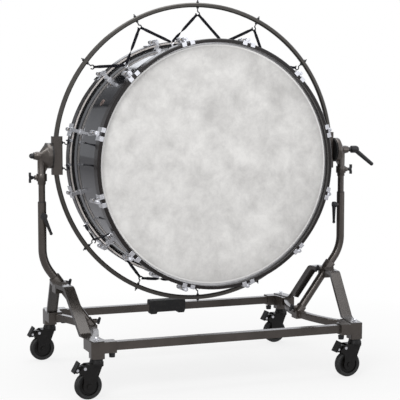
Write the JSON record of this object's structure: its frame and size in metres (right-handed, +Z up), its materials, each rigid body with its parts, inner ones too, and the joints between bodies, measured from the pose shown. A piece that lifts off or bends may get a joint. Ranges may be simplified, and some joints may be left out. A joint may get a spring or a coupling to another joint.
{
  "type": "bass drum",
  "caption": "Concert bass drum hung on elastic bands inside a tilting ring, carried by a height-adjustable stand with swivel casters and a rail foot rest.",
  "frame": {"origin": "on the floor, midway between the four swivel axes and below the drum's centre", "axes": "+Z up, +Y to the back, so the drum's axis lies along Y; +X to the right seen from the front, along the tilt axis, towards the tilt lever"},
  "size_m": [1.4631, 0.7634, 1.463],
  "materials": {
    "shell_lacquer": "gloss black lacquer over wood",
    "hoop_lacquer": "gloss near-black lacquer over bent wood",
    "drum_head": "matt fibre-look film, off-white",
    "flesh_hoop_metal": "plain",
    "plated_steel": "bright plating",
    "plain_steel": "zinc plated",
    "nut_brass": "plain",
    "ring_paint": "dark grey satin",
    "black_steel": "black, semi-matt",
    "elastic_band": "black woven elastic",
    "black_rubber": "matt",
    "stand_paint": "dark bronze-grey, satin",
    "black_plastic": "black, slightly textured",
    "caster_black": "black, semi-matt",
    "caster_tyre": "matt black tread and hub"
  },
  "bodies": {
    "stand": {"left_leg_tube": "stand_paint", "right_leg_tube": "stand_paint", "tube_bushings": "black_plastic", "apex_clamps": "stand_paint", "struts": "stand_paint", "left_end_bar": "stand_paint", "right_end_bar": "stand_paint", "corner_castings": "stand_paint", "front_rail": "stand_paint", "rear_rail": "stand_paint", "frame_bolts": "plated_steel", "rail_screws": "black_plastic"},
    "left_riser": {"left_inner_tube": "stand_paint", "left_tilt_bracket": "stand_paint", "left_pivot_cap": "black_plastic"},
    "right_riser": {"right_inner_tube": "stand_paint", "right_tilt_bracket": "stand_paint"},
    "drum_in_ring": {"shell": "shell_lacquer", "front_head": "drum_head", "rear_head": "drum_head", "flesh_hoops": "flesh_hoop_metal", "front_hoop": "hoop_lacquer", "rear_hoop": "hoop_lacquer", "front_claws": "plated_steel", "rear_claws": "plated_steel", "tension_rods": "plated_steel", "lugs": "plated_steel", "swivel_nuts": "nut_brass", "lug_screws": "plain_steel", "vent_grommet": "plated_steel", "strap_anchors": "plated_steel", "ring": "ring_paint", "ring_blocks": "ring_paint", "hook_bolts": "black_steel", "hook_nuts": "black_steel", "suspension_straps": "elastic_band", "hoop_hooks": "plated_steel", "friction_discs": "black_rubber"},
    "tilt_handle": {"right_tilt_lever": "black_plastic"},
    "left_wing": {"left_wing_screw": "black_plastic"},
    "right_wing": {"right_wing_screw": "black_plastic"},
    "left_height_handle": {"left_height_lever": "black_plastic"},
    "right_height_handle": {"right_height_lever": "black_plastic"},
    "left_apex_screw": {"left_apex_knob": "black_plastic"},
    "right_apex_screw": {"right_apex_knob": "black_plastic"},
    "left_foot_screw": {"left_foot_knob": "black_plastic"},
    "right_foot_screw": {"right_foot_knob": "black_plastic"},
    "foot_rest_sleeve": {"foot_rest": "black_rubber"},
    "front_left_caster": {"front_left_fork": "caster_black"},
    "front_left_roller": {"front_left_wheel": "caster_tyre"},
    "front_left_brake": {"front_left_pedal": "caster_black"},
    "front_right_caster": {"front_right_fork": "caster_black"},
    "front_right_roller": {"front_right_wheel": "caster_tyre"},
    "front_right_brake": {"front_right_pedal": "caster_black"},
    "rear_left_caster": {"rear_left_fork": "caster_black"},
    "rear_left_roller": {"rear_left_wheel": "caster_tyre"},
    "rear_left_brake": {"rear_left_pedal": "caster_black"},
    "rear_right_caster": {"rear_right_fork": "caster_black"},
    "rear_right_roller": {"rear_right_wheel": "caster_tyre"},
    "rear_right_brake": {"rear_right_pedal": "caster_black"}
  },
  "joints": [
    {"name": "left_height_slide", "type": "slide", "parent": "stand", "child": "left_riser", "axis": [0, 0, 1], "range_m": [-0.04, 0.075]},
    {"name": "right_height_slide", "type": "slide", "parent": "stand", "child": "right_riser", "axis": [0, 0, 1], "range_m": [-0.04, 0.075]},
    {"name": "drum_tilt", "type": "hinge", "parent": "left_riser", "child": "drum_in_ring", "pos_m": [0, 0, 0.864], "axis": [1, 0, 0], "continuous": true},
    {"name": "tilt_lever_turn", "type": "hinge", "parent": "right_riser", "child": "tilt_handle", "pos_m": [0.68, 0, 0.864], "axis": [1, 0, 0], "range_deg": [-90, 90]},
    {"name": "left_wing_turn", "type": "hinge", "parent": "left_riser", "child": "left_wing", "pos_m": [-0.67, 0, 0.782], "axis": [1, 0, 0], "continuous": true},
    {"name": "right_wing_turn", "type": "hinge", "parent": "right_riser", "child": "right_wing", "pos_m": [0.67, 0, 0.782], "axis": [1, 0, 0], "continuous": true},
    {"name": "left_height_lever_turn", "type": "hinge", "parent": "stand", "child": "left_height_handle", "pos_m": [-0.632, -0.03, 0.636], "axis": [0, 1, 0], "range_deg": [-60, 60]},
    {"name": "right_height_lever_turn", "type": "hinge", "parent": "stand", "child": "right_height_handle", "pos_m": [0.602, 0, 0.636], "axis": [1, 0, 0], "range_deg": [-60, 60]},
    {"name": "left_apex_knob_turn", "type": "hinge", "parent": "stand", "child": "left_apex_screw", "pos_m": [-0.526, 0, 0.373], "axis": [1, 0, 0], "continuous": true},
    {"name": "left_foot_knob_turn", "type": "hinge", "parent": "stand", "child": "left_foot_screw", "pos_m": [-0.4106, 0, 0.216], "axis": [1, 0, 0], "continuous": true},
    {"name": "right_apex_knob_turn", "type": "hinge", "parent": "stand", "child": "right_apex_screw", "pos_m": [0.526, 0, 0.373], "axis": [1, 0, 0], "continuous": true},
    {"name": "right_foot_knob_turn", "type": "hinge", "parent": "stand", "child": "right_foot_screw", "pos_m": [0.4106, 0, 0.216], "axis": [1, 0, 0], "continuous": true},
    {"name": "foot_rest_slide", "type": "slide", "parent": "stand", "child": "foot_rest_sleeve", "axis": [1, 0, 0], "range_m": [-0.33, 0.36]},
    {"name": "front_left_swivel", "type": "hinge", "parent": "stand", "child": "front_left_caster", "pos_m": [-0.522, -0.353, 0.14], "axis": [0, 0, 1], "continuous": true},
    {"name": "front_left_roll", "type": "hinge", "parent": "front_left_caster", "child": "front_left_roller", "pos_m": [-0.554, -0.353, 0.05], "axis": [0, 1, 0], "continuous": true},
    {"name": "front_left_brake_press", "type": "hinge", "parent": "front_left_caster", "child": "front_left_brake", "pos_m": [-0.57, -0.353, 0.116], "axis": [0, -1, 0], "range_deg": [0, 20]},
    {"name": "front_right_swivel", "type": "hinge", "parent": "stand", "child": "front_right_caster", "pos_m": [0.522, -0.353, 0.14], "axis": [0, 0, 1], "continuous": true},
    {"name": "front_right_roll", "type": "hinge", "parent": "front_right_caster", "child": "front_right_roller", "pos_m": [0.49, -0.353, 0.05], "axis": [0, 1, 0], "continuous": true},
    {"name": "front_right_brake_press", "type": "hinge", "parent": "front_right_caster", "child": "front_right_brake", "pos_m": [0.474, -0.353, 0.116], "axis": [0, -1, 0], "range_deg": [0, 20]},
    {"name": "rear_left_swivel", "type": "hinge", "parent": "stand", "child": "rear_left_caster", "pos_m": [-0.522, 0.353, 0.14], "axis": [0, 0, 1], "continuous": true},
    {"name": "rear_left_roll", "type": "hinge", "parent": "rear_left_caster", "child": "rear_left_roller", "pos_m": [-0.554, 0.353, 0.05], "axis": [0, 1, 0], "continuous": true},
    {"name": "rear_left_brake_press", "type": "hinge", "parent": "rear_left_caster", "child": "rear_left_brake", "pos_m": [-0.57, 0.353, 0.116], "axis": [0, -1, 0], "range_deg": [0, 20]},
    {"name": "rear_right_swivel", "type": "hinge", "parent": "stand", "child": "rear_right_caster", "pos_m": [0.522, 0.353, 0.14], "axis": [0, 0, 1], "continuous": true},
    {"name": "rear_right_roll", "type": "hinge", "parent": "rear_right_caster", "child": "rear_right_roller", "pos_m": [0.49, 0.353, 0.05], "axis": [0, 1, 0], "continuous": true},
    {"name": "rear_right_brake_press", "type": "hinge", "parent": "rear_right_caster", "child": "rear_right_brake", "pos_m": [0.474, 0.353, 0.116], "axis": [0, -1, 0], "range_deg": [0, 20]}
  ],
  "couplings": [
    {"joint": "right_height_slide", "follows": "left_height_slide", "ratio": 1}
  ]
}
